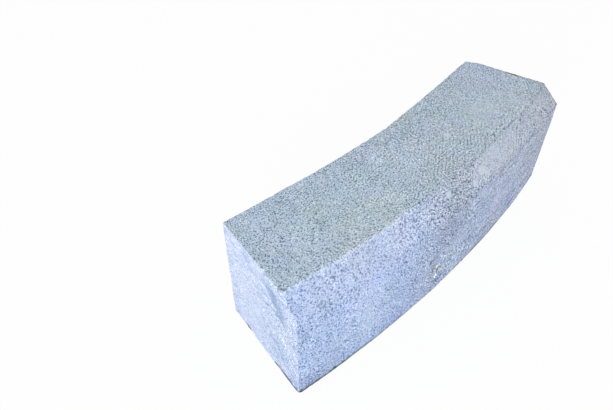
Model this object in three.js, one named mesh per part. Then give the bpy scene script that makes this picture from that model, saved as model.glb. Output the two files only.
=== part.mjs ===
// A radius kerb stone: one sawn block of granite, standing as it is laid. Its chamfered road face
// is on the outside of the curve. Millimetres, +Z up, length along X, road side towards -Y, origin
// on the bed, at the middle of the stone's box.

import * as THREE from 'three';

// Driving dimensions.
const HEIGHT = 250; // from the bed to the top
const WIDTH = 220; // from the road face to the back, square to both
const CHAMFER_WIDTH = 40; // what the chamfer takes off the top
const CHAMFER_DEPTH = 40; // what the chamfer takes off the road face
const ROAD_FACE_RADIUS = 2500; // plan radius of the convex road face
const ROAD_FACE_LENGTH = 800; // round the road face, from one sawn end to the other
const ARRIS = 2; // every sharp edge is eased by a small flat, this far along both of its faces
const FACET_LENGTH = 20; // a curved face is made of flats no longer than this

// Cuts every corner of an outline back by the same distance along both of its sides.
function easeCorners(corners, ease) {
  return corners.flatMap((corner, i) => {
    const before = corners.at(i - 1);
    const after = corners[(i + 1) % corners.length];
    return [before, after].map((neighbour) => {
      const alongSide = neighbour.clone().sub(corner).normalize();
      return corner.clone().addScaledVector(alongSide, ease);
    });
  });
}

// The section that the saw leaves: x runs from the road face to the back, y from the bed to the top.
function kerbSection() {
  const corners = [
    new THREE.Vector2(0, 0),
    new THREE.Vector2(WIDTH, 0),
    new THREE.Vector2(WIDTH, HEIGHT),
    new THREE.Vector2(CHAMFER_WIDTH, HEIGHT),
    new THREE.Vector2(0, HEIGHT - CHAMFER_DEPTH),
  ];
  return new THREE.Shape(easeCorners(corners, ARRIS));
}

// The section carried along a straight length, with the edges of both ends eased too. Its middle
// is at z = 0, and z is the distance along the road face.
function straightKerb() {
  const lengthBetweenArrises = ROAD_FACE_LENGTH - 2 * ARRIS;
  const kerb = new THREE.ExtrudeGeometry(kerbSection(), {
    depth: lengthBetweenArrises,
    steps: Math.ceil(lengthBetweenArrises / FACET_LENGTH),
    bevelEnabled: true,
    bevelSegments: 1,
    bevelThickness: ARRIS,
    bevelSize: ARRIS,
    bevelOffset: -ARRIS,
  });
  return kerb.translate(0, 0, -lengthBetweenArrises / 2);
}

// Bends the straight kerb round the centre of the curve, which lies on +Y. What was square to its
// length becomes radial, so the ends meet those of the next stones in the ring.
function bendToRadius(kerb) {
  const points = kerb.getAttribute('position');
  for (let i = 0; i < points.count; i++) {
    const radius = ROAD_FACE_RADIUS - points.getX(i);
    const angle = points.getZ(i) / ROAD_FACE_RADIUS;
    points.setXYZ(i, radius * Math.sin(angle), -radius * Math.cos(angle), points.getY(i));
  }
  kerb.computeVertexNormals();
  return kerb;
}

// Brings the middle of the stone's box to the origin, with the bed at z = 0.
function standOnOrigin(stone) {
  stone.computeBoundingBox();
  const middle = stone.boundingBox.getCenter(new THREE.Vector3());
  return stone.translate(-middle.x, -middle.y, -stone.boundingBox.min.z);
}

const granite = new THREE.MeshStandardMaterial({
  name: 'granite',
  color: new THREE.Color().setRGB(0.71, 0.76, 0.82, THREE.SRGBColorSpace),
  roughness: 0.9,
  metalness: 0,
});

const kerbStone = new THREE.Mesh(standOnOrigin(bendToRadius(straightKerb())), granite);
kerbStone.name = 'kerb_stone';

const kerb = new THREE.Group();
kerb.add(kerbStone);

export default kerb;
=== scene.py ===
import math

import bpy
import numpy as np
from mathutils import Matrix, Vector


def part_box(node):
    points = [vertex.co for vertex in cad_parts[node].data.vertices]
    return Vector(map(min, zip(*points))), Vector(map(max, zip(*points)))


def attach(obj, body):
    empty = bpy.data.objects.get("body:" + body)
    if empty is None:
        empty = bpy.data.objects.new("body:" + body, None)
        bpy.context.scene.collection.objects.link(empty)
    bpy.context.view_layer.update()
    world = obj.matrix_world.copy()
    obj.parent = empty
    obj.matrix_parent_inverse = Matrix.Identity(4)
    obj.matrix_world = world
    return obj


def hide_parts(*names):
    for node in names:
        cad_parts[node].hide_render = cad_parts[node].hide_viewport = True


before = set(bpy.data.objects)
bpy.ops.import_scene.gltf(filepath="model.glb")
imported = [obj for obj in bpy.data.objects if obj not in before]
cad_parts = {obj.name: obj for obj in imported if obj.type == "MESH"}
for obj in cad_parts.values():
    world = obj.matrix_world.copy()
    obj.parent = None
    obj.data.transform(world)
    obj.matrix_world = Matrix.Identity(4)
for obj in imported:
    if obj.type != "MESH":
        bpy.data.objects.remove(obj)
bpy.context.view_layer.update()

# ----------------------------------------------------- the kerb stone: its block
# A kerb stone is one block of granite. Both ends and the bed are sawn, the back is dressed in long
# flats, and the top, the chamfer and the road face are bush-hammered round the curve of the road.
# Places on it are (s, a, h): s round the road face from mid length, a in from it, h above the bed.

MM = 0.001
BLOCK_LOW, BLOCK_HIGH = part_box("kerb_stone")
HEIGHT = BLOCK_HIGH.z
WIDTH = 220 * MM
CHAMFER = 40 * MM
CHAMFER_FOOT = HEIGHT - CHAMFER
LENGTH = 800 * MM
HALF_LENGTH = LENGTH / 2
ROAD_RADIUS = 2500 * MM
BEND_CENTRE = BLOCK_LOW.y + ROAD_RADIUS

CELL = 3.4 * MM
CHAMFER_CELL = 2.3 * MM
OPENING_CELLS = np.array([0.7, 0.9, 1.2, 1.7, 2.4]) * MM


def stations(start, end, cell):
    """Places from start to end. They open out from each end by the opening cells, because the
    arrises are eased there, and are a cell apart in between."""
    opening = np.cumsum(OPENING_CELLS)
    first, last = start + opening[-1], end - opening[-1]
    even = np.linspace(first, last, round((last - first) / cell) + 1)
    return np.concatenate([[start], start + opening[:-1], even, end - opening[-2::-1], [end]])


def box_skin(along, across, up):
    """The skin of a box cut by three rows of stations: the lattice points that lie on its six
    sides, and one quad for each cell of a side, wound so that it faces outwards."""
    counts = len(along), len(across), len(up)
    on_skin = np.ones(counts, bool)
    on_skin[1:-1, 1:-1, 1:-1] = False
    number = np.cumsum(on_skin).reshape(counts) - 1
    quads = []
    for axis in range(3):
        for end in (0, -1):
            side = np.take(number, end, axis=axis)
            ring = [side[:-1, :-1], side[1:, :-1], side[1:, 1:], side[:-1, 1:]]
            if (end == 0) != (axis == 1):
                ring.reverse()
            quads.append(np.stack(ring, axis=-1).reshape(-1, 4))
    i, j, k = np.nonzero(on_skin)
    return np.stack([along[i], across[j], up[k]], axis=1), np.concatenate(quads)


def squared_block():
    """The block before any wear: the skin of a box in s, share of the width and h, with the share
    spread over what the chamfer leaves of the width at that height."""
    along = stations(-HALF_LENGTH, HALF_LENGTH, CELL)
    across = stations(0, WIDTH, CELL) / WIDTH
    up = np.union1d(stations(0, CHAMFER_FOOT, CELL), stations(CHAMFER_FOOT, HEIGHT, CHAMFER_CELL))
    skin, quads = box_skin(along, across, up)
    s, share, h = skin.T
    front = np.clip(h - CHAMFER_FOOT, 0, None)
    return np.stack([s, front + (WIDTH - front) * share, h], axis=1), quads


def ripples(places, seed, waves, shortest, longest):
    """A smooth random field of unit spread at the places: the sum of many cosine waves, whose
    directions and starts are random and whose lengths lie between the shortest and the longest."""
    random = np.random.default_rng(seed)
    heading = random.normal(size=(3, waves))
    heading /= np.linalg.norm(heading, axis=0)
    wavelength = shortest * (longest / shortest) ** random.random(waves)
    start = random.random(waves) * 2 * np.pi
    phase = places @ (2 * np.pi * heading / wavelength) + start
    return np.cos(phase).sum(axis=1) * np.sqrt(2 / waves)


def smooth_step(value, low, high):
    """0 below low, 1 above high, and a smooth rise, 3t^2 - 2t^3, between them."""
    t = np.clip((value - low) / (high - low), 0, 1)
    return t * t * (3 - 2 * t)


def smooth_fall(value, low, high):
    """1 below low, 0 above high, and a smooth fall, the step turned round, between them."""
    return smooth_step(-value, -high, -low)


def ease_arrises(places, radius):
    """Rounds every arris: each place goes to the nearest point of the block shrunk by its radius,
    and out again by the radius in its own direction. Gives the new places and those directions."""
    s, a, h = places.T
    turn = (math.sqrt(2) - 1) * radius
    corners = [
        (radius, radius),
        (radius, CHAMFER_FOOT - turn),
        (CHAMFER + turn, HEIGHT - radius),
        (WIDTH - radius, HEIGHT - radius),
        (WIDTH - radius, radius),
    ]
    nearest, least = places[:, 1:], np.full(len(s), np.inf)
    for (a0, h0), (a1, h1) in zip(corners, corners[1:] + corners[:1]):
        run, rise = a1 - a0, h1 - h0
        share = np.clip(((a - a0) * run + (h - h0) * rise) / (run**2 + rise**2), 0, 1)
        foot = np.stack([a0 + share * run, h0 + share * rise], axis=1)
        gap = np.hypot(a - foot[:, 0], h - foot[:, 1])
        nearest = np.where((gap < least)[:, None], foot, nearest)
        least = np.minimum(gap, least)
    inside = is_inside_section(a, h, radius)
    nearest = np.where(inside[:, None], places[:, 1:], nearest)
    centre = np.column_stack([np.clip(s, radius - HALF_LENGTH, HALF_LENGTH - radius), nearest])
    outward = places - centre
    outward /= np.linalg.norm(outward, axis=1, keepdims=True)
    return centre + radius[:, None] * outward, outward


def is_inside_section(a, h, radius):
    """Whether a place of the section lies at least the radius inside each of its five sides."""
    from_chamfer = (a - h + CHAMFER_FOOT) / math.sqrt(2)
    depth = np.minimum.reduce([a, h, WIDTH - a, HEIGHT - h, from_chamfer])
    return depth >= radius


# The way that each face of the squared block looks, and how far out it lies that way.
DIAGONAL = math.sqrt(0.5)
FACES = {
    "near end": ((-1, 0, 0), HALF_LENGTH),
    "far end": ((1, 0, 0), HALF_LENGTH),
    "road face": ((0, -1, 0), 0),
    "chamfer": ((0, -DIAGONAL, DIAGONAL), CHAMFER_FOOT * DIAGONAL),
    "top": ((0, 0, 1), HEIGHT),
    "back": ((0, 1, 0), WIDTH),
    "bed": ((0, 0, -1), 0),
}


def cut_back(places, lean, reach, bite):
    """Cuts with a plane that faces the direction lean, at the distance reach less the bite: what
    stands outside it falls back on to it."""
    outside = np.clip(places @ lean - reach + bite, 0, None)
    return places - outside[:, None] * lean


def chip_arris(places, first, second, bite):
    """Breaks the arris of two faces by the bite, with a plane that leans half way between them."""
    (out_1, reach_1), (out_2, reach_2) = FACES[first], FACES[second]
    lean = np.add(out_1, out_2)
    size = np.linalg.norm(lean)
    return cut_back(places, lean / size, (reach_1 + reach_2) / size, bite)


def bend_to_road(places):
    """Lays (s, a, h) round the road: the angle is s over the road radius, and a runs in from it."""
    s, a, h = places.T
    angle, radius = s / ROAD_RADIUS, ROAD_RADIUS - a
    return np.stack([radius * np.sin(angle), BEND_CENTRE - radius * np.cos(angle), h], axis=1)


# Dressing and wear. The hammer leaves pecks, the saw wanders off square, and the arrises chip. The
# ripples are the patterns of the waves, the pecks and the breaks, and the raggedness of all edges.
square, quads = squared_block()
s, a, h = square.T
wide_waves = ripples(square, 11, 40, 70 * MM, 260 * MM)
pecks = ripples(square, 13, 64, 8 * MM, 13 * MM)
breaks = ripples(square, 14, 48, 9 * MM, 34 * MM)
rag = ripples(square, 15, 48, 6 * MM, 20 * MM)

# The arrises are eased by a radius that varies with the raggedness.
ARRIS_RADIUS, ARRIS_RAG = 1.3 * MM, 0.4 * MM
LEAST_RAG, MOST_RAG = -1, 2
radius = ARRIS_RADIUS + ARRIS_RAG * np.clip(rag, LEAST_RAG, MOST_RAG)
places, outward = ease_arrises(square, radius)

# How far each point belongs to each face: not at all up to the first cosine between the way that
# its skin looks and the way of the face, and wholly from the second.
on_end = smooth_step(np.abs(outward[:, 0]), 0.6, 0.9)
on_near_end = on_end * (s < 0)
on_top = smooth_step(outward[:, 2], 0.8, 0.95)
on_bed = smooth_step(-outward[:, 2], 0.5, 0.8)
on_back = smooth_step(outward[:, 1], 0.5, 0.8)
on_road_side = (1 - on_end) * smooth_step(-outward[:, 1], 0.35, 0.6)
on_road_face = on_road_side * smooth_step(-outward[:, 1], 0.8, 0.95)

# Past a slanting line the road face was rubbed smooth along its length after the hammer.
RUBBED_FROM = 40 * MM
RUBBED_SLANT = 0.55
RUBBED_RAG = 9 * MM
RUBBED_EDGE = (-25 * MM, 40 * MM)
past_line = s - RUBBED_FROM + RUBBED_SLANT * (CHAMFER_FOOT - h) + RUBBED_RAG * rag
rubbed = on_road_face * smooth_step(past_line, *RUBBED_EDGE)

# The hammer's pecks are fainter on the back, and mostly gone where the road face was rubbed. All
# but the bed is slightly wavy.
PECK_RELIEF = 0.13 * MM
WAVINESS = 0.35 * MM
LESS_ON_BACK, LESS_IF_RUBBED = 0.5, 0.75
hammered = (1 - on_end) * (1 - on_bed)
hammered = hammered * (1 - LESS_ON_BACK * on_back) * (1 - LESS_IF_RUBBED * rubbed)
relief = PECK_RELIEF * hammered * pecks + WAVINESS * (1 - on_bed) * wide_waves


def nearness(middle, reach, stretch=(1, 1, 1)):
    """How near each point is to a middle (s, a, h) in millimetres: 1 - r^2, where r is the distance
    over the reach. A stretch above 1 makes distances that way count for less."""
    apart = (square / MM - middle) / np.multiply(stretch, reach)
    return 1 - (apart**2).sum(axis=1)


BLOT_RAG, BLOT_CORE = 0.12, 0.6


def blot(middle, reach, stretch=(1, 1, 1)):
    """A blot with a soft ragged edge: a smooth step of the nearness, made ragged, from 0 at about
    the reach to 1 in the blot's core."""
    return smooth_step(nearness(middle, reach, stretch) + BLOT_RAG * rag, 0, BLOT_CORE)


# A ledge stands proud round the chamfered corner of the near end, where the saw cut snapped off.
# At places in from the road face its foot is at these heights.
LEDGE_AT = np.array([0, 36, 57, 71, 83, 100]) * MM
LEDGE_FOOT = np.array([150, 162, 205, 224, 227, 220]) * MM
LEDGE_RISE = 3 * MM
LEDGE_SLOPE = 12 * MM
LEDGE_RAG = 1 * MM
LEDGE_FADES = (80 * MM, 120 * MM)
past_ledge = h - np.interp(a, LEDGE_AT, LEDGE_FOOT) + LEDGE_RAG * rag
ledge = smooth_step(past_ledge, -LEDGE_SLOPE, LEDGE_SLOPE) * smooth_fall(a, *LEDGE_FADES)
relief += LEDGE_RISE * on_near_end * ledge

# A gouge low on the road face, where a tool slipped, with its crumbled edge thrown up above it.
GOUGE = ((-40, 0, 31), 6, (3.3, 1, 1))
GOUGE_DEPTH = 1.8 * MM
GOUGE_EDGE = ((-52, 0, 45), 6, (2.2, 1, 1))
GOUGE_EDGE_RISE = 1.1 * MM
relief -= GOUGE_DEPTH * np.clip(nearness(*GOUGE), 0, 1) * on_road_face
relief += GOUGE_EDGE_RISE * np.clip(nearness(*GOUGE_EDGE), 0, 1) * on_road_face
places = places + relief[:, None] * outward

# How deep each arris is chipped, in millimetres for each 1 by which the pattern of breaks stands
# above a level, and that level.
CHIPPED = {
    ("near end", "chamfer"): (1.4, 0.1),
    ("near end", "road face"): (1.0, 0.4),
    ("near end", "top"): (1.2, 0.5),
    ("near end", "back"): (1.2, 0.6),
    ("near end", "bed"): (1.4, 0.6),
    ("far end", "chamfer"): (1.0, 0.6),
    ("far end", "road face"): (1.2, 0.6),
    ("far end", "top"): (1.0, 0.7),
    ("far end", "back"): (1.8, 0.3),
    ("far end", "bed"): (2.0, 0.4),
    ("road face", "chamfer"): (0.9, 0.6),
    ("chamfer", "top"): (0.7, 0.8),
    ("top", "back"): (1.3, 0.5),
    ("back", "bed"): (2.2, 0.3),
    ("road face", "bed"): (0.8, 0.8),
}
# Single larger breaks: the arris, then the middle, reach and depth of the break in millimetres.
BROKEN = [
    ("near end", "bed", (-400, 168, 0), 12, 1.0),
    ("near end", "bed", (-400, 68, 0), 12, 1.0),
    ("near end", "chamfer", (-400, 14, 224), 24, 1.4),
    ("near end", "road face", (-400, 0, 172), 16, 1.4),
]
CHIP_LIMIT = 1.5
BREAK_RAG = 0.3
for (first, second), (depth, level) in CHIPPED.items():
    bite = depth * MM * np.clip(breaks - level, 0, CHIP_LIMIT)
    for one, other, middle, reach, deepest in BROKEN:
        if (one, other) == (first, second):
            single = np.clip(nearness(middle, reach), 0, 1) * (1 + BREAK_RAG * rag)
            bite = np.maximum(bite, deepest * MM * single)
    places = chip_arris(places, first, second, bite)

# The near foot of the road face is rubbed off.
FOOT_LEAN = np.array([-0.70, -0.28, -0.66]) / np.linalg.norm([0.70, 0.28, 0.66])
FOOT_BITE, FOOT_RAG = 4.0 * MM, 0.3 * MM
foot = np.array([-HALF_LENGTH, 0, 0])
places = cut_back(places, FOOT_LEAN, foot @ FOOT_LEAN, FOOT_BITE + FOOT_RAG * rag)

# The far back corner was knocked off, most at the top and less down to about mid height.
KNOCK_LEAN = np.array([0.94, 0.33, 0.08]) / np.linalg.norm([0.94, 0.33, 0.08])
KNOCK_BITE, KNOCK_RAG = 10.5 * MM, 0.6 * MM
KNOCK_FOOT = 90 * MM
corner = np.array([HALF_LENGTH, WIDTH, HEIGHT])
knock = KNOCK_BITE * smooth_step(h, KNOCK_FOOT, HEIGHT) + KNOCK_RAG * rag
knock = np.where(h > KNOCK_FOOT, knock, -np.inf)
places = cut_back(places, KNOCK_LEAN, corner @ KNOCK_LEAN, knock)

# How far the upper arris of the chamfer stands out from the mason's line at places along the
# stone, in millimetres. The top goes along with it, less and less as far in as it follows.
ARRIS_AT = [-360, -330, -250, -170, -130, -100, -50, -30, -5, 45, 75, 140, 225, 270, 380, 400]
ARRIS_OUT = [0, 1, 2, 2.8, 0.8, 2.3, 0.6, 3.2, 0.3, 3.4, 4, 3, 1.5, 4.5, 2.5, -1]
TOP_FOLLOWS_TO = 110 * MM
s, a, h = places.T
with_arris = np.clip((h - CHAMFER_FOOT) / CHAMFER, 0, 1) * smooth_fall(a, CHAMFER, TOP_FOLLOWS_TO)
arris_out = np.interp(s / MM, ARRIS_AT, ARRIS_OUT) * MM
places = np.stack([s, a - with_arris * arris_out, h], axis=1)

# The back is dressed in long flats, and the saw ran out of square at both ends. The near end also
# bows and leans out, and the far one is cut a little long. A run-out is the slope across an end.
FLATS_AT = np.array([-400, -340, -260, -180, -60, 30, 120, 240, 330, 400]) * MM
FLATS_OUT = np.array([-1.0, 0.5, 2.5, 1.0, -1.5, -3.5, 0.0, 1.0, 0.5, -2.0]) * MM
NEAR_RUN_OUT, FAR_RUN_OUT = -0.0117, 0.0408
NEAR_BOW, NEAR_LEAN = 0.6 * MM, 2.2 * MM
FAR_LONG = 1.5 * MM
END_POWER, PAST_END = 6, 1.1


def with_end(towards):
    """How far a place goes along with an end: the share of the half length that it lies towards
    that end, held to a little past 1, to a high power, so that only the end itself moves."""
    return np.clip(towards / HALF_LENGTH, 0, PAST_END) ** END_POWER


s, a, h = places.T
run_out = np.interp(s, [-HALF_LENGTH, 0, HALF_LENGTH], [NEAR_RUN_OUT, 0, FAR_RUN_OUT])
bulge = NEAR_BOW * (1 - (2 * a / WIDTH - 1) ** 2) * h / HEIGHT + NEAR_LEAN * (1 - h / HEIGHT)
s = s + run_out * (WIDTH / 2 - a) - with_end(-s) * bulge + with_end(s) * FAR_LONG
a = a + np.interp(s, FLATS_AT, FLATS_OUT) * a / WIDTH
places = np.stack([s, a, np.clip(h, 0, None)], axis=1)

mesh = bpy.data.meshes.new("dressed_kerb_stone")
mesh.from_pydata(bend_to_road(places), [], quads)
mesh.shade_smooth()
stone = bpy.data.objects.new("dressed_kerb_stone", mesh)
bpy.context.scene.collection.objects.link(stone)

# ----------------------------------------------------- the kerb stone: its marks
# What hammer, saw, weather and handling left on each face, and the light and shade painted on
# it, kept for its granite to read: shares from 0 to 1, how strongly grain and lines show, the light
# that stains, paler patches and painted light and shade leave, and the place on the squared block
# that marks follow.


def keep(name, values, kind="FLOAT", field="value"):
    """Keeps a number for each point of the stone, or a colour or a vector if the kind says so."""
    kept = mesh.attributes.new(name, kind, "POINT")
    kept.data.foreach_set(field, np.asarray(values, np.float32).ravel())


def between(first, second, share):
    """Goes from first to second by a share: first plus the share of the way from it to second."""
    return first + (second - first) * share


# From here on s, a and h are in millimetres on the squared block.
s, a, h = (square / MM).T
patches = ripples(square, 22, 48, 18 * MM, 60 * MM)
keep("place", square, "FLOAT_VECTOR", "vector")
# the share of the top face, whose greener tint is painted light
keep("top_face", on_top)
keep("sawn", on_end)
keep("road", on_road_face)
keep("rubbed", rubbed)

# The faces' tints, which hold painted light, go from blue near to grey far along the stone, and
# the back has the mean of both.
GREYING = (-190, 20)
GREYING_RAG = 10
BACK_GREYNESS = 0.5
greyness = smooth_step(s + GREYING_RAG * patches, *GREYING)
keep("greyed", between(greyness, BACK_GREYNESS, on_back))


def laid_over(spots):
    """The most that any one of the spots gives each point: its share times its blot."""
    return np.max([share * blot(*spot) for *spot, share in spots], axis=0)


# Where the hammer's teeth show as rows, on the top and on the chamfer: the middle, reach and
# stretch of each spot, and its share.
TOOTHED = [
    ((60, 85, 250), 120, (1.2, 0.55, 1), 0.7),
    ((150, 60, 250), 70, (1, 0.6, 1), 0.7),
    ((200, 20, 230), 60, (1, 1, 1), 0.9),
    ((362, 68, 250), 52, (1, 1, 1), 0.8),
]
keep("toothed", laid_over(TOOTHED))

# Pale stone dust beaten into the surface, listed the same way. As far as mid length the arrises
# are paler too, where the skin has turned away from all the faces: partly dust and wear, partly a
# painted highlight.
DUSTED = [
    ((112, 29, 239), 42, (1.3, 0.45, 0.45), 0.19),
    ((118, 13, 223), 30, (1.4, 0.5, 0.5), 0.15),
    ((64, 20, 230), 24, (1.2, 0.6, 0.6), 0.20),
    ((180, 20, 230), 36, (1.2, 0.6, 0.6), 0.12),
    ((101, 115, 250), 9, (1.2, 0.9, 1), 0.5),
    ((232, 100, 250), 45, (1.2, 0.7, 1), 0.07),
]
PALE_ARRIS_TURN = (0.015, 0.07)
PALE_ARRIS_ABOVE, PALE_ARRIS_AS_FAR_AS = 8, 60
ARRIS_WEAR_AND_HIGHLIGHT = 0.15
filled = laid_over(DUSTED)
squareness = np.max([outward @ np.array(way) for way, reach in FACES.values()], axis=0)
pale_arrises = smooth_step(1 - squareness, *PALE_ARRIS_TURN)
pale_arrises *= (h > PALE_ARRIS_ABOVE) & (s < PALE_ARRIS_AS_FAR_AS)
keep("dust_and_arris_highlight", np.maximum(filled, ARRIS_WEAR_AND_HIGHLIGHT * pale_arrises))

# How strongly the grain shows: on the hammered faces by the place along the stone, more along the
# back edge of the far top, and on the sawn ends less towards their back and top. Dust fills it.
GRAIN_AT = [-400, -250, -190, -140, -70, 0, 60, 130, 200, 300, 400]
GRAIN_ON_TOP = [0.90, 0.89, 0.88, 1.0, 1.22, 1.18, 1.16, 0.92, 0.83, 0.88, 0.98]
GRAIN_ON_CHAMFER = [0.66, 0.64, 0.64, 0.84, 1.18, 1.85, 1.48, 0.95, 0.80, 0.93, 0.82]
GRAIN_ON_ROAD_FACE = [1.32, 0.83, 1.28, 1.6, 2.6, 1.95, 1.28, 1.4, 1.4, 1.45, 2.3]
COARSER = 0.42
COARSER_ACROSS, COARSER_ALONG = (110, 190), (-20, 100)
NEAR_BACK, NEAR_TOP = (40, 150), (185, 205)
END_GRAIN, LESS_NEAR_BACK, LESS_NEAR_TOP = 1.1, 0.35, 0.18
FILLING, MOST_FILLED = 2.2, 0.2
near_back = smooth_step(a, *NEAR_BACK)
near_top = smooth_step(h, *NEAR_TOP)
on_chamfer = np.clip(1 - on_top - on_road_face - on_end - on_back, 0, 1)
grain = on_top * np.interp(s, GRAIN_AT, GRAIN_ON_TOP)
grain *= 1 + COARSER * smooth_step(a, *COARSER_ACROSS) * smooth_step(s, *COARSER_ALONG)
grain += on_chamfer * np.interp(s, GRAIN_AT, GRAIN_ON_CHAMFER)
grain += on_road_face * np.interp(s, GRAIN_AT, GRAIN_ON_ROAD_FACE)
grain += on_back * (1 - on_end) * (1 - on_top)
grain += on_end * (END_GRAIN - LESS_NEAR_BACK * near_back) * (1 - LESS_NEAR_TOP * near_top)
keep("grain", grain * (1 - FILLING * np.clip(filled, 0, MOST_FILLED)))

# Large books of mica show boldly in the near part of the chamfer.
BOLD_FADES = (-160, -60)
keep("bold", on_chamfer * smooth_fall(s, *BOLD_FADES))

# How strongly the saw's lines show in front, at the back and at the top of the ends, less in the
# hollow of the ledge, and the rubbed lines high and low on the road face.
SAW_LINES_IN_FRONT, SAW_LINES_AT_BACK, SAW_LINES_AT_TOP = 1.15, 0.65, 0.88
HOLLOW = ((-400, 64, 206), 30)
LOST_IN_HOLLOW = 0.5
RUBBED_LINES_HIGH, RUBBED_LINES_LOW = 0.7, 1.0
RUBBED_LINES_FADE, RUBBED_LINES_START = (60, 110), (40, 130)
saw_lines = between(SAW_LINES_IN_FRONT, SAW_LINES_AT_BACK, near_back)
saw_lines = between(saw_lines, SAW_LINES_AT_TOP, near_top) * (1 - LOST_IN_HOLLOW * blot(*HOLLOW))
low_down = smooth_fall(h, *RUBBED_LINES_FADE)
rubbed_lines = between(RUBBED_LINES_HIGH, RUBBED_LINES_LOW, low_down)
rubbed_lines *= smooth_step(s + h, *RUBBED_LINES_START)
keep("lined", on_end * saw_lines + rubbed * rubbed_lines)

# Stains, painted shade, and patches that are paler than the rest: where each lies, its reach and
# stretch, and the red, green and blue light that it leaves, which is over 1 where it is paler.
STAINS_AND_PAINTED_SHADE = [
    # the top
    ((-190, 78, 250), 70, (1.3, 0.6, 1), (1.03, 1.01, 0.95)),
    ((-235, 140, 250), 50, (1, 0.8, 1), (1.0, 1.0, 0.96)),
    ((-297, 115, 250), 30, (1, 0.9, 1), (1.06, 1.06, 1.0)),
    ((-138, 158, 250), 34, (1, 0.9, 1), (1.06, 1.06, 1.05)),
    ((-118, 132, 250), 34, (1, 0.8, 1), (1.05, 1.03, 1.04)),
    ((-120, 78, 250), 40, (1, 0.7, 1), (1.06, 1.04, 1.03)),
    ((-366, 76, 250), 40, (1, 0.8, 1), (0.96, 0.97, 0.97)),
    ((-18, 147, 250), 64, (1.2, 0.8, 1), (1.07, 1.08, 1.09)),
    ((62, 184, 250), 34, (1.3, 1, 1), (0.94, 0.955, 0.98)),
    ((116, 190, 250), 34, (1.2, 0.8, 1), (0.96, 0.965, 0.98)),
    ((15, 57, 250), 55, (1.3, 0.5, 1), (0.97, 0.97, 0.97)),
    ((215, 77, 250), 13, (1, 1, 1), (1.0, 0.95, 1.03)),
    ((345, 55, 250), 50, (1.2, 0.6, 1), (0.95, 0.94, 0.96)),
    ((370, 190, 250), 90, (1, 1, 1), (0.98, 0.98, 1.05)),
    # the chamfer
    ((-225, 22, 234), 110, (1.1, 0.4, 0.4), (1.06, 1.02, 0.98)),
    ((-138, 24, 234), 60, (1.2, 0.5, 0.5), (1.11, 1.09, 1.07)),
    ((-2, 8, 214), 56, (0.9, 1, 0.8), (0.90, 0.915, 0.92)),
    ((272, 30, 240), 34, (1.3, 0.5, 0.5), (0.95, 0.965, 0.95)),
    # the road face
    ((-25, 0, 172), 60, (0.9, 1, 0.9), (0.86, 0.88, 0.90)),
    ((-257, 0, 110), 60, (0.9, 1, 1.8), (1.08, 1.07, 1.04)),
    ((-240, 0, 178), 60, (1.2, 1, 0.5), (1.06, 1.045, 1.02)),
    ((-125, 0, 178), 45, (1, 1, 0.6), (1.04, 1.05, 1.03)),
    ((40, 0, 180), 40, (1, 1, 0.6), (1.05, 1.05, 1.02)),
    ((200, 0, 175), 50, (1.2, 1, 0.6), (1.05, 1.02, 1.01)),
    ((-275, 0, 55), 60, (1, 1, 0.6), (0.97, 0.98, 0.965)),
    ((-130, 0, 45), 50, (1, 1, 0.6), (0.96, 0.985, 0.97)),
    ((2, 0, 52), 70, (1.1, 1, 0.7), (1.08, 1.09, 1.07)),
    ((20, 0, 100), 110, (1.2, 1, 0.8), (0.97, 1.0, 1.01)),
    ((160, 0, 125), 90, (1.3, 1, 0.7), (1.06, 1.06, 1.06)),
    ((320, 0, 45), 80, (1.3, 1, 0.6), (1.06, 1.06, 1.06)),
    ((360, 0, 150), 130, (1, 1, 1), (1.02, 1.0, 0.95)),
    ((-68, 0, 70), 12, (1, 1, 1.1), (0.95, 1.0, 0.86)),
    # painted shade in the hollow of the gouge
    ((-40, 0, 26), 9, (2.2, 1, 0.8), (0.90, 0.96, 1.0)),
    # the near end
    # painted shade along the slope of the ledge
    ((-400, 76, 222), 22, (1, 1.3, 0.75), (0.90, 0.92, 0.95)),
    ((-400, 48, 204), 30, (1, 1.1, 0.8), (0.90, 0.92, 0.95)),
    ((-400, 46, 177), 22, (1, 1.2, 0.7), (0.90, 0.92, 0.94)),
    ((-400, 12, 230), 22, (1, 1.2, 0.8), (0.93, 0.94, 0.96)),
    ((-400, 4, 178), 24, (1, 0.5, 1.6), (0.88, 0.91, 0.95)),
    ((-400, 9, 140), 10, (1, 0.6, 1.3), (0.86, 0.86, 0.88)),
    ((-400, 108, 167), 14, (1, 1.2, 0.8), (0.90, 0.92, 0.95)),
    ((-400, 144, 230), 15, (1, 1, 0.8), (0.92, 0.92, 0.99)),
    ((-400, 36, 125), 15, (1, 1, 1), (1.05, 1.03, 1.01)),
    ((-400, 180, 90), 90, (1, 0.8, 1), (1.04, 1.03, 1.02)),
    ((-400, 213, 40), 30, (1, 0.7, 1.6), (0.90, 0.92, 0.96)),
    ((-400, 58, 76), 30, (1, 1.2, 1), (0.90, 0.94, 0.97)),
    ((-400, 45, 200), 45, (1, 1, 1), (0.955, 0.965, 0.985)),
    ((-400, 195, 225), 36, (1, 1, 0.9), (1.04, 1.02, 1.005)),
    ((-400, 148, 174), 36, (1, 1.3, 0.7), (1.035, 1.02, 1.015)),
    ((-400, 130, 224), 26, (1, 0.9, 0.9), (0.91, 0.92, 0.95)),
    ((-400, 56, 228), 20, (1, 1.2, 0.7), (0.91, 0.93, 0.95)),
    ((-400, 94, 178), 20, (1, 1, 0.9), (0.94, 0.96, 0.98)),
    ((-400, 145, 82), 38, (1, 1.2, 0.7), (0.95, 0.965, 0.955)),
    ((-400, 93, 36), 24, (1, 1, 1), (0.96, 0.97, 0.96)),
    ((-400, 25, 15), 50, (1, 1, 1), (0.91, 0.92, 0.95)),
]
stain_and_painted_light = np.ones((len(s), 3))


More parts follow.
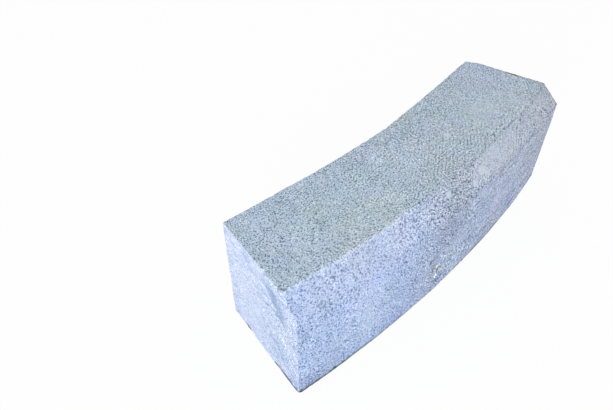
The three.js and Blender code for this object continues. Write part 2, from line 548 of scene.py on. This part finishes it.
def shade(share, left):
    """Darkens or pales the stone by a share at each point: its light is multiplied by 1 plus the
    share of the way from 1 to the light that is left where the share is 1."""
    stain_and_painted_light[:] *= 1 + np.clip(share, 0, 1)[:, None] * (np.array(left) - 1)


for middle, reach, stretch, left in STAINS_AND_PAINTED_SHADE:
    shade(blot(middle, reach, stretch), left)

# How much darker the stone is low down, and how strong the painted contact shadow along the
# lowest edge is, at places along the foot and across that of the near end.
DARKER_LOW_AT = [-400, -350, -300, -200, 0, 120]
DARKER_LOW = [1.0, 0.8, 0.5, 0.2, 0.1, 0]
CONTACT_SHADOW_AT = [-400, -380, -300, -260, -220, -150, -120, 20, 80, 115, 160, 250, 300, 400]
CONTACT_SHADOW = [1.0, 1.0, 0.95, 0.8, 0.5, 0.35, 0.05, 0.0, 0.35, 0.5, 0.4, 0.4, 0.25, 0.15]
END_CONTACT_SHADOW_AT = [0, 8, 40, 60, 70]
END_CONTACT_SHADOW = [0.6, 1, 1, 0.6, 0]
LOW_BAND_AS_FAR_AS = 180
CORNER_FADES = (-390, -365)
# What darkens the foot: its share, the heights where it starts to thin out and ends, how ragged
# it is, and the light that it leaves.
DARKENED_FOOT = [
    # darker towards the bottom, and a darker greenish band lower down
    (on_road_side * np.interp(s, DARKER_LOW_AT, DARKER_LOW), 15, 62, 10 * patches, (0.88, 0.87, 0.86)),
    (on_road_side * (s < LOW_BAND_AS_FAR_AS), 7, 14, 2.0 * rag, (0.92, 0.95, 0.90)),
    # painted contact shadow along the foot of the road face, at its near corner and on the near end
    (on_road_side * np.interp(s, CONTACT_SHADOW_AT, CONTACT_SHADOW), 4, 10, 1.5 * rag, (0.20, 0.26, 0.24)),
    (on_road_side * smooth_fall(s, *CORNER_FADES), 7, 15, 2.0 * rag, (0.34, 0.40, 0.34)),
    (on_near_end * np.interp(a, END_CONTACT_SHADOW_AT, END_CONTACT_SHADOW), 6, 15, 1.5 * rag, (0.14, 0.21, 0.25)),
]
for share, thins, ends, edge, left in DARKENED_FOOT:
    shade(share * smooth_fall(h - edge, thins, ends), left)


def beside(line_a, line_h, reach):
    """How close each point is to a line along the stone: e to the power of minus the square of its
    distance over the reach."""
    return np.exp(-(((a - line_a) ** 2 + (h - line_h) ** 2) / reach**2))


# The upper arris of the chamfer is pale along the near half, partly from wear and partly as a
# painted highlight, and dark beyond it, grit sits in the pecks of its lower arris beyond mid
# length, and the far arris is grimed from handling.
UPPER_ARRIS, LOWER_ARRIS = (39, 249, 3.0), (0, 209, 3.5)
WORN_AND_HIGHLIT, HIGHLIGHT_FADES = (1.22, 1.20, 1.15), (-200, -60)
DARK, DARK_FROM = (0.80, 0.80, 0.80), (20, 60)
GRITTY, GRITTY_FROM = (0.76, 0.79, 0.85), (70, 120)
GRIMED, GRIMED_FROM = (0.84, 0.81, 0.87), (390, 398)
PATCHY, DARK_RAG, GRITTY_RAG = 0.6, 0.4, 0.5
shade(beside(*UPPER_ARRIS) * smooth_fall(s, *HIGHLIGHT_FADES), WORN_AND_HIGHLIT)
shade(beside(*UPPER_ARRIS) * smooth_step(s, *DARK_FROM) * (PATCHY + DARK_RAG * rag), DARK)
shade(beside(*LOWER_ARRIS) * smooth_step(s, *GRITTY_FROM) * (PATCHY + GRITTY_RAG * rag), GRITTY)
shade(smooth_step(s, *GRIMED_FROM) * (1 - on_bed), GRIMED)

# A slow drift of tint over the whole block, fainter on the ends, and small lighter and darker
# patches. Each colour reads the drift with the axes turned round once more, so that they differ.
DRIFT_SPREAD = (0.012, 0.004, 0.017)
DRIFT_LESS_ON_ENDS = 0.6
PATCH_SPREAD = 0.018
for channel, spread in enumerate(DRIFT_SPREAD):
    drift = ripples(np.roll(square, channel, axis=1), 21, 40, 40 * MM, 160 * MM)
    stain_and_painted_light[:, channel] *= 1 + spread * (1 - DRIFT_LESS_ON_ENDS * on_end) * drift
stain_and_painted_light *= (1 + PATCH_SPREAD * patches)[:, None]
keep("stain_and_painted_light", np.column_stack([stain_and_painted_light, np.ones(len(s))]), "FLOAT_COLOR", "color")

# --------------------------------------------------- the kerb stone: its granite
# Light grey granite of pale feldspar and quartz with dark flecks of mica. Hammering whitens it,
# and a saw leaves long fine lines across the ends. The top's greener grey and the blue of the
# chamfer and the road face are painted light: the colour cast of the light on each face.


def linear(red, green, blue):
    """A colour named in 0-255 sRGB, in the linear numbers that a shader takes: each channel, as a
    share of 255, goes over 12.92 where it is dark, and else its sum with 0.055 goes over 1.055 and
    to the power of 2.4."""
    channel = np.array([red, green, blue]) / 255
    lit = np.where(channel <= 0.04045, channel / 12.92, ((channel + 0.055) / 1.055) ** 2.4)
    return (*lit, 1.0)


granite = bpy.data.materials.new("granite")
granite.use_nodes = True
tree = granite.node_tree
shader = tree.nodes["Principled BSDF"]


def node(kind, inputs=(), output=0, **settings):
    """Adds a node to the present tree, sets its settings, fills its inputs, each with a value or
    with the output of another node, and gives one of its outputs."""
    made = tree.nodes.new(kind)
    for name, value in settings.items():
        setattr(made, name, value)
    for name, value in dict(inputs).items():
        if isinstance(value, bpy.types.NodeSocket):
            tree.links.new(value, made.inputs[name])
        else:
            made.inputs[name].default_value = value
    return made.outputs[output]


def attribute(name, output="Fac"):
    """Reads what the stone keeps under this name."""
    return node("ShaderNodeAttribute", attribute_name=name, output=output)


def noise(where, size, detail=0.0, twist=0.0):
    """Cloudy noise from 0 to 1, whose blots are about the size across. Detail adds finer blots, and
    twist stirs them."""
    inputs = {"Vector": where, "Scale": 1 / size, "Detail": detail, "Distortion": twist}
    return node("ShaderNodeTexNoise", inputs, "Fac")


def rise(value, none, full):
    """0 where the value is at none or beyond, 1 where it is at full or beyond, and a smooth change
    between. Full may be the lower of the two."""
    inputs = {"Value": value, "From Min": none, "From Max": full}
    return node("ShaderNodeMapRange", inputs, interpolation_type="SMOOTHSTEP")


def calculate(operation, first, second=0.0):
    """One step of arithmetic on two numbers."""
    return node("ShaderNodeMath", {0: first, 1: second}, operation=operation)


def times(first, second):
    """The product of two numbers."""
    return calculate("MULTIPLY", first, second)


def plus(first, *others):
    """The sum of two or more numbers."""
    for other in others:
        first = calculate("ADD", first, other)
    return first


def swing(value, size):
    """Turns a number from 0 to 1 into one from minus half the size to plus half."""
    return times(calculate("SUBTRACT", value, 0.5), size)


def blend(under, over, share, way="MIX"):
    """Lays one colour over another, or multiplies it in, by a share from 0 to 1."""
    inputs = {0: share, 6: under, 7: over}
    return node("ShaderNodeMix", inputs, 2, data_type="RGBA", blend_type=way)


def on_vectors(operation, first, second, output=0):
    """One step of arithmetic on two vectors."""
    return node("ShaderNodeVectorMath", {0: first, 1: second}, output, operation=operation)


def scaled(vector, size):
    """A vector times a number."""
    return node("ShaderNodeVectorMath", {0: vector, "Scale": size}, operation="SCALE")


solid = node("ShaderNodeTexCoord", output="Object")
place = attribute("place", "Vector")
top_face = attribute("top_face")
sawn = attribute("sawn")
greyed = attribute("greyed")
contrast = attribute("grain")

# The tint of each face, bluer near and greyer far. The top's greener grey and the blue of the
# chamfer and the road face are a painted colour cast of the light, and the sawn end is paler
# partly as painted light.
CHAMFER_NEAR = linear(191, 208, 241)
CHAMFER_FAR = linear(197, 207, 225)
ROAD_NEAR = linear(189, 207, 242)
ROAD_FAR = linear(197, 208, 234)
TOP_NEAR_AS_LIT = linear(193, 211, 229)
TOP_FAR_AS_LIT = linear(199, 214, 228)
SAWN = linear(206, 219, 245)
colour = blend(CHAMFER_NEAR, CHAMFER_FAR, greyed)
colour = blend(colour, blend(ROAD_NEAR, ROAD_FAR, greyed), attribute("road"))
colour = blend(colour, blend(TOP_NEAR_AS_LIT, TOP_FAR_AS_LIT, greyed), top_face)
colour = blend(colour, SAWN, sawn)

# Rows of the hammer's teeth, aslant across the stone and wavering.
TOOTH_PITCH = 6.5 * MM
ROW_ACROSS = (0.52, -0.85, 0)
WAVER, WAVER_SIZE = 3.0, 20 * MM
across_rows = on_vectors("DOT_PRODUCT", place, ROW_ACROSS, "Value")
waver = swing(noise(solid, WAVER_SIZE, detail=1.0), WAVER)
turns = plus(times(across_rows, 2 * math.pi / TOOTH_PITCH), waver)
teeth = times(calculate("SINE", turns), attribute("toothed"))

# Fine arcs left by the saw's disc across the ends.
DISC_CENTRE = (0, 150 * MM, -100 * MM)
ARC_PITCH, ARC_LENGTH = 2.6 * MM, 28 * MM
ARC_STRENGTH = 1.1
flat_place = on_vectors("MULTIPLY", place, (0, 1, 1))
from_disc = times(on_vectors("DISTANCE", flat_place, DISC_CENTRE, "Value"), 1 / ARC_PITCH)
along_arc = on_vectors("DOT_PRODUCT", place, (0, 1 / ARC_LENGTH, 0), "Value")
arcs = node("ShaderNodeCombineXYZ", {"X": along_arc, "Y": from_disc})
end_lines = times(swing(noise(arcs, 1.0), ARC_STRENGTH), sawn)

# Long lines rubbed along the road face, the deepest of them darkened further.
STREAK_LENGTH, STREAK_PITCH = 70 * MM, 5.0 * MM
DEEP_STREAKS, DEEPENED = (0.46, 0.34), -0.4
stretched = on_vectors("MULTIPLY", place, (1 / STREAK_LENGTH, 1, 1 / STREAK_PITCH))
streaks = noise(stretched, 1.0, detail=1.0)
deepened = times(rise(streaks, *DEEP_STREAKS), DEEPENED)
road_lines = times(plus(swing(streaks, 1.0), deepened), attribute("rubbed"))
drawn = times(plus(end_lines, road_lines), attribute("lined"))

# The rock is a mosaic of pale and grey grains with bright crystal faces. It is bluer where it is
# dark, because a grain, a tooth mark or a line changes its red the most and its blue the least.
GRAIN_SIZE, GRAIN_SWING = 2.6 * MM, 0.22
MOTTLE_SIZE, MOTTLE_SWING, MOTTLE_TWIST = 2.2 * MM, 1.0, 0.1
GRIT_SIZE, GRIT_SWING = 1.4 * MM, 1.6
CRYSTAL_SIZE, CRYSTAL_TWIST, CRYSTAL_SHINE = 2.6 * MM, 0.3, 0.17
CRYSTAL_SHIFT = (0.31, 0.72, 0.13)
CRYSTALS = (0.60, 0.70)
TEETH_TINT = 0.11
SHADE_ON_BLUE = (1.0, 0.86, 0.52, 1.0)
SHADE_ON_GREY = (1.0, 0.90, 0.64, 1.0)
SHADE_ON_TOP = (1.0, 0.83, 0.74, 1.0)
LINES_IN_SHADE = (1.0, 0.80, 0.48)
grains = node("ShaderNodeTexVoronoi", {"Vector": solid, "Scale": 1 / GRAIN_SIZE}, "Color")
grains = node("ShaderNodeSeparateColor", {0: grains})
mottle = noise(solid, MOTTLE_SIZE, twist=MOTTLE_TWIST)
grit = noise(solid, GRIT_SIZE)
mosaic = plus(swing(grains, GRAIN_SWING), swing(mottle, MOTTLE_SWING), swing(grit, GRIT_SWING))
crystals = noise(on_vectors("ADD", solid, CRYSTAL_SHIFT), CRYSTAL_SIZE, twist=CRYSTAL_TWIST)
shine = times(rise(crystals, *CRYSTALS), CRYSTAL_SHINE)
change = plus(times(plus(mosaic, shine), contrast), times(teeth, TEETH_TINT))
in_shade = blend(blend(SHADE_ON_BLUE, SHADE_ON_GREY, greyed), SHADE_ON_TOP, top_face)
tints = on_vectors("ADD", scaled(in_shade, change), scaled(LINES_IN_SHADE, drawn))
colour = blend(colour, on_vectors("ADD", tints, (1, 1, 1)), 1.0, "MULTIPLY")

# Dark flecks of mica lie in loose clusters, paler where sawn, with large books where it is bold.
# Noise counts as a fleck or a book between the two levels of its pair, and in full at the second.
MICA_ON_BLUE = (0.07, 0.17, 0.37, 1.0)
MICA_ON_GREY = (0.10, 0.18, 0.26, 1.0)
CLUSTER_SIZE, CLUSTERING = 40 * MM, 0.12
MICA_TWIST = 0.4
FLECK_SIZE, FLECKS = 2.5 * MM, (0.40, 0.36)
FLECK_STRENGTH, PALER_IF_SAWN, FLECKS_IN_ROWS = 0.95, -0.35, 0.03
BOOK_SIZE, BOOKS = 4.4 * MM, (0.37, 0.31)
BOOK_STRENGTH = 0.7
BOOK_SHIFT = (0.13, 0.27, 0.41)
mica = blend(MICA_ON_BLUE, MICA_ON_GREY, calculate("MAXIMUM", top_face, greyed))
clusters = swing(noise(solid, CLUSTER_SIZE, detail=2.0), CLUSTERING)
flecks = noise(solid, FLECK_SIZE, twist=MICA_TWIST)
flecks = rise(plus(flecks, clusters, times(teeth, FLECKS_IN_ROWS)), *FLECKS)
flecks = times(flecks, times(contrast, plus(FLECK_STRENGTH, times(sawn, PALER_IF_SAWN))))
books = noise(on_vectors("ADD", solid, BOOK_SHIFT), BOOK_SIZE, twist=MICA_TWIST)
boldness = times(contrast, times(attribute("bold"), BOOK_STRENGTH))
books = times(rise(books, *BOOKS), boldness)
colour = blend(colour, mica, flecks, "MULTIPLY")
colour = blend(colour, mica, books, "MULTIPLY")

# Over the rock lie the stains, with the painted light and shade among them, and the dust.
# The dust on the top takes the top's painted colour cast too.
DUST = linear(221, 228, 241)
TOP_DUST_AS_LIT = linear(213, 225, 240)
DUST_COVERS = 0.75
dust = blend(DUST, TOP_DUST_AS_LIT, top_face)
colour = blend(colour, attribute("stain_and_painted_light", "Color"), 1.0, "MULTIPLY")
colour = blend(colour, dust, times(attribute("dust_and_arris_highlight"), DUST_COVERS))

# Dark and pale marks too fine for the mesh: both ends of each, its reach in millimetres, and the
# light that it leaves, which is over 1 where it is pale.
FINE_MARKS = [
    # painted shade on the near end's ledge slope, and the seams, scratches and specks round it
    ((-400, 83, 228), (-400, 71, 225), 18.0, (0.84, 0.89, 0.92)),
    ((-400, 66, 219), (-400, 57, 205), 24.0, (0.80, 0.85, 0.89)),
    ((-400, 54, 198), (-400, 46, 181), 20.0, (0.83, 0.86, 0.90)),
    ((-400, 46, 181), (-400, 38, 164), 9.0, (0.78, 0.83, 0.88)),
    ((-400, 108, 211), (-400, 97, 208), 2.6, (1.28, 1.20, 1.06)),
    ((-400, 93, 184), (-400, 82, 179), 2.6, (1.30, 1.22, 1.06)),
    ((-400, 72, 181), (-400, 43, 190), 2.8, (1.55, 1.45, 1.20)),
    ((-400, 50, 219), (-400, 24, 222), 2.4, (1.26, 1.20, 1.06)),
    ((-400, 34, 192), (-400, 33, 160), 2.4, (1.16, 1.12, 1.04)),
    ((-400, 9, 210), (-400, 4, 206), 3.8, (1.24, 1.18, 1.06)),
    ((-400, 128, 153), (-400, 116, 149), 2.6, (1.18, 1.12, 1.03)),
    ((-400, 97, 110), (-400, 92, 118), 4.0, (1.20, 1.15, 1.06)),
    ((-400, 198, 209), (-400, 196, 205), 3.0, (1.10, 1.00, 1.0)),
    ((-400, 90, 168), (-400, 82, 171), 2.8, (0.50, 0.52, 0.70)),
    ((-400, 172, 210), (-400, 171, 206), 2.2, (0.72, 0.76, 0.84)),
    ((-400, 84, 84), (-400, 65, 84), 3.2, (0.66, 0.70, 0.82)),
    ((-400, 64, 84), (-400, 56, 71), 3.2, (0.70, 0.75, 0.86)),
    ((-400, 56, 71), (-400, 50, 51), 2.8, (0.74, 0.80, 0.88)),
    ((-400, 110, 65), (-400, 98, 64), 2.2, (0.74, 0.78, 0.88)),
    ((-400, 15, 160), (-400, 13, 150), 2.6, (0.62, 0.66, 0.74)),
    ((-400, 11, 143), (-400, 10, 137), 2.6, (0.70, 0.64, 0.62)),
    # painted shade in the two chips at its foot
    ((-400, 171, 2), (-400, 164, 2), 5.5, (0.10, 0.09, 0.09)),
    ((-400, 71, 4), (-400, 64, 4), 5.5, (0.08, 0.08, 0.09)),
    # the gouge in the road face: rust, pale breaks partly painted highlight, painted shade inside
    ((-66, 0, 88), (-62, 0, 82), 4.2, (1.00, 0.76, 0.54)),
    ((-58, 0, 80), (-53, 0, 74), 3.8, (1.55, 1.32, 1.16)),
    ((-52, 0, 68), (-47, 0, 64), 3.8, (0.80, 0.76, 0.48)),
    ((-46, 0, 68), (-42, 0, 63), 3.4, (0.60, 0.54, 0.44)),
    ((-46, 0, 58), (-34, 0, 50), 4.2, (1.22, 1.18, 0.96)),
    ((-28, 0, 46), (-25, 0, 38), 4.4, (1.20, 0.93, 0.84)),
    ((-44, 0, 50), (-40, 0, 44), 3.6, (0.85, 0.70, 0.58)),
    ((-34, 0, 42), (-31, 0, 38), 3.4, (0.75, 0.73, 0.69)),
    ((-42, 0, 45), (-50, 0, 42), 4.0, (0.72, 0.64, 0.56)),
    ((-51, 0, 56), (-55, 0, 48), 4.4, (1.55, 1.42, 1.24)),
    ((-56, 0, 47), (-62, 0, 45), 4.2, (1.50, 1.38, 1.20)),
    ((-64, 0, 46), (-70, 0, 52), 3.2, (1.30, 1.15, 0.96)),
    ((-72, 0, 53), (-75, 0, 56), 3.4, (0.66, 0.62, 0.63)),
    ((-29, 0, 31), (-38, 0, 26), 4.0, (0.52, 0.54, 0.68)),
    ((-40, 0, 27), (-46, 0, 27), 4.0, (0.52, 0.60, 0.69)),
    ((-47, 0, 30), (-56, 0, 38), 3.6, (0.68, 0.66, 0.70)),
    ((-79, 0, 112), (-82, 0, 103), 4.0, (0.38, 0.40, 0.48)),
    ((-106, 0, 15), (-103, 0, 9), 3.6, (0.92, 0.78, 0.56)),
    # the top and the chamfer
    ((198, 53, 250), (202, 51, 250), 3.2, (0.78, 0.66, 0.45)),
    ((195, 44, 250), (190, 46, 250), 3.4, (1.05, 1.06, 0.84)),
    ((221, 92, 250), (222, 89, 250), 3.0, (1.02, 1.04, 0.86)),
    ((-398, 122, 250), (-396, 116, 250), 2.6, (0.84, 0.80, 0.66)),
    ((328, 25, 235), (342, 3, 213), 3.4, (1.30, 1.24, 1.16)),
    ((344, 18, 228), (341, 3, 213), 2.6, (0.60, 0.64, 0.70)),
    ((322, 46, 250), (316, 35, 246), 2.8, (0.56, 0.58, 0.60)),
    ((340, 38, 248), (342, 37, 247), 3.2, (0.98, 1.06, 0.84)),
    ((201, 40, 250), (208, 38, 250), 2.5, (0.72, 0.74, 0.72)),
    ((226, 40, 250), (229, 39, 250), 2.8, (0.72, 0.74, 0.70)),
    ((-400, 50, 250), (-390, 41, 250), 2.8, (0.58, 0.62, 0.64)),
    ((-324, 34, 244), (-323, 25, 235), 2.8, (1.24, 1.22, 1.16)),
    ((-318, 24, 234), (-316, 16, 226), 2.6, (1.22, 1.20, 1.12)),
    ((-287, 34, 244), (-275, 34, 244), 2.6, (1.24, 1.22, 1.16)),
    ((255, 0, 210), (275, 0, 208), 3.0, (0.66, 0.68, 0.74)),
    ((198, 0, 209), (216, 0, 206), 3.0, (0.66, 0.68, 0.74)),
    ((399, 99, 250), (399, 110, 250), 6.5, (0.32, 0.27, 0.18)),
    ((400, 111, 251), (400, 125, 251), 5.5, (0.38, 0.33, 0.24)),
    ((390, 98, 250), (389, 114, 250), 4.0, (1.15, 1.06, 0.95)),
]
# Small white blots of crushed stone: the middle and reach of each in millimetres, and its share.
CRUSHED = [
    ((76, 20, 230), 11.5, 0.75),
    ((85, 11, 221), 9.0, 0.65),
    ((101, 115, 250), 8.0, 1.0),
    ((44, 13, 223), 8.5, 1.0),
    ((-28, 25, 235), 8.5, 1.0),
    ((32, 78, 250), 5.0, 0.6),
    ((-360, 182, 250), 6.0, 0.8),
    ((-340, 166, 250), 5.0, 0.5),
    ((-330, 72, 250), 6.5, 0.5),
    ((-332, 96, 250), 6.0, 0.7),
    ((-367, 50, 250), 6.0, 0.4),
]
# Both kinds are drawn on places that wander, so that their outlines are uneven.
WANDER, WANDER_SIZE = 5 * MM, 7 * MM
STROKE_CORE = 0.5
CRUSHED_CORE, CRUSHED_COVERS = 0.6, 0.9
wander = node("ShaderNodeTexNoise", {"Vector": solid, "Scale": 1 / WANDER_SIZE}, "Color")
wander = on_vectors("SUBTRACT", scaled(wander, WANDER), (WANDER / 2,) * 3)
wandering = on_vectors("ADD", place, wander)


def stroke(start, end, reach):
    """1 along the line from start to end, and 0 further from its nearest point than the reach."""
    run = np.subtract(end, start) * MM
    from_start = on_vectors("SUBTRACT", wandering, np.array(start) * MM)
    along = on_vectors("DOT_PRODUCT", from_start, run / (run @ run), "Value")
    along = node("ShaderNodeClamp", {"Value": along})
    gap = on_vectors("DISTANCE", from_start, scaled(run, along), "Value")
    return rise(gap, reach * MM, STROKE_CORE * reach * MM)


for start, end, reach, left in FINE_MARKS:
    colour = blend(colour, (*left, 1.0), stroke(start, end, reach), "MULTIPLY")
for middle, reach, share in CRUSHED:
    gap = on_vectors("DISTANCE", wandering, np.array(middle) * MM, "Value")
    crushed = rise(gap, reach * MM, CRUSHED_CORE * reach * MM)
    colour = blend(colour, dust, times(crushed, CRUSHED_COVERS * share))
tree.links.new(colour, shader.inputs["Base Color"])

# The marks of the tools, as heights in millimetres.
PECK_SIZE, PECK_HEIGHT = 2.8 * MM, 1.7
FINE_SIZE, FINE_HEIGHT = 1.2 * MM, 0.3
TOOTH_HEIGHT, LINE_HEIGHT = 0.25, 0.8
marks = times(noise(solid, PECK_SIZE), times(contrast, PECK_HEIGHT))
marks = plus(marks, times(noise(solid, FINE_SIZE), FINE_HEIGHT))
marks = plus(marks, times(teeth, TOOTH_HEIGHT), times(drawn, LINE_HEIGHT))
bumped = node("ShaderNodeBump", {"Height": marks, "Distance": 1 * MM, "Strength": 1.0})
tree.links.new(bumped, shader.inputs["Normal"])

# Hammered stone is dull; its mica and the sawn ends are smoother.
ROUGHNESS, SMOOTHER_MICA, SMOOTHER_IF_SAWN = 0.9, -0.25, -0.12
SHEEN = 0.3
roughness = plus(ROUGHNESS, times(flecks, SMOOTHER_MICA), times(sawn, SMOOTHER_IF_SAWN))
tree.links.new(roughness, shader.inputs["Roughness"])
shader.inputs["Specular IOR Level"].default_value = SHEEN
mesh.materials.append(granite)

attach(stone, "root")
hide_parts("kerb_stone")

# --------------------------------------------------------------- floor and light
# A white studio floor that the block stands on, and one large soft lamp low in front of the near
# end, under an even white sky.

FLOOR_HALF = 9.0
across = np.array([-1, 1, 1, -1]) * FLOOR_HALF
back = np.array([-1, -1, 1, 1]) * FLOOR_HALF
floor_mesh = bpy.data.meshes.new("floor")
floor_mesh.from_pydata(np.column_stack([across, back, np.zeros(4)]), [], [(0, 1, 2, 3)])
floor = bpy.data.objects.new("floor", floor_mesh)
bpy.context.scene.collection.objects.link(floor)


def in_sight():
    """1 for rays from the camera and for rays that are mirrored or let through, and else 0."""
    camera_ray = node("ShaderNodeLightPath", output="Is Camera Ray")
    mirrored = node("ShaderNodeLightPath", output="Is Glossy Ray")
    let_through = node("ShaderNodeLightPath", output="Is Transmission Ray")
    return calculate("MAXIMUM", calculate("MAXIMUM", camera_ray, mirrored), let_through)


# The paper of the floor is mostly white by itself where it is seen, so that its shadows stay faint.
PAPER = (0.95, 0.95, 0.95, 1.0)
PAPER_GLOW = 0.94
paper = bpy.data.materials.new("white_paper")
paper.use_nodes = True
tree = paper.node_tree
tree.nodes.clear()
matt = node("ShaderNodeBsdfDiffuse", {"Color": PAPER})
glow = node("ShaderNodeEmission", {"Strength": 1.0})
glow_share = times(in_sight(), PAPER_GLOW)
mixed = node("ShaderNodeMixShader", {0: glow_share, 1: matt, 2: glow})
surface = tree.nodes.new("ShaderNodeOutputMaterial")
tree.links.new(mixed, surface.inputs["Surface"])
floor_mesh.materials.append(paper)

# The sky lights the stone evenly, and is plain white where it is seen or mirrored.
WHITE = (1.0, 1.0, 1.0, 1.0)
SKY_LIGHT = 0.75
sky = bpy.data.worlds.new("sky")
bpy.context.scene.world = sky
sky.use_nodes = True
tree = sky.node_tree
brightness = node("ShaderNodeMapRange", {"Value": in_sight(), "To Min": SKY_LIGHT})
background = tree.nodes["Background"]
background.inputs["Color"].default_value = WHITE
tree.links.new(brightness, background.inputs["Strength"])

LAMP_PLACE = (-2.6, -1.3, 1.1)
LAMP_ACROSS = 1.6
LAMP_WATTS = 34
lamp = bpy.data.lights.new("soft_lamp", "AREA")
lamp.shape = "DISK"
lamp.size = LAMP_ACROSS
lamp.energy = LAMP_WATTS
lamp_object = bpy.data.objects.new("soft_lamp", lamp)
bpy.context.scene.collection.objects.link(lamp_object)
lamp_object.location = LAMP_PLACE
aim = -lamp_object.location.normalized()
lamp_object.rotation_euler = aim.to_track_quat("-Z", "Y").to_euler()

# ------------------------------------------------------------------------ camera
# It looks down along the block from above its near end. Its angles are in degrees, and its lens
# and sensor in millimetres.

CAMERA_PLACE = (-0.7301, -0.4486, 0.9474)
CAMERA_HEADING, CAMERA_TILT, CAMERA_ROLL = -44.728, 45.281, -0.713
LENS = 33.803
SENSOR = 36.0
camera = bpy.data.cameras.new("camera")
camera.sensor_width = SENSOR
camera.lens = LENS
camera_object = bpy.data.objects.new("camera", camera)
bpy.context.scene.collection.objects.link(camera_object)
camera_object.matrix_world = (
    Matrix.Translation(CAMERA_PLACE)
    @ Matrix.Rotation(math.radians(CAMERA_HEADING), 4, "Z")
    @ Matrix.Rotation(math.radians(CAMERA_TILT), 4, "X")
    @ Matrix.Rotation(math.radians(CAMERA_ROLL), 4, "Z")
)
bpy.context.scene.camera = camera_object
bpy.context.scene.view_settings.view_transform = "Standard"
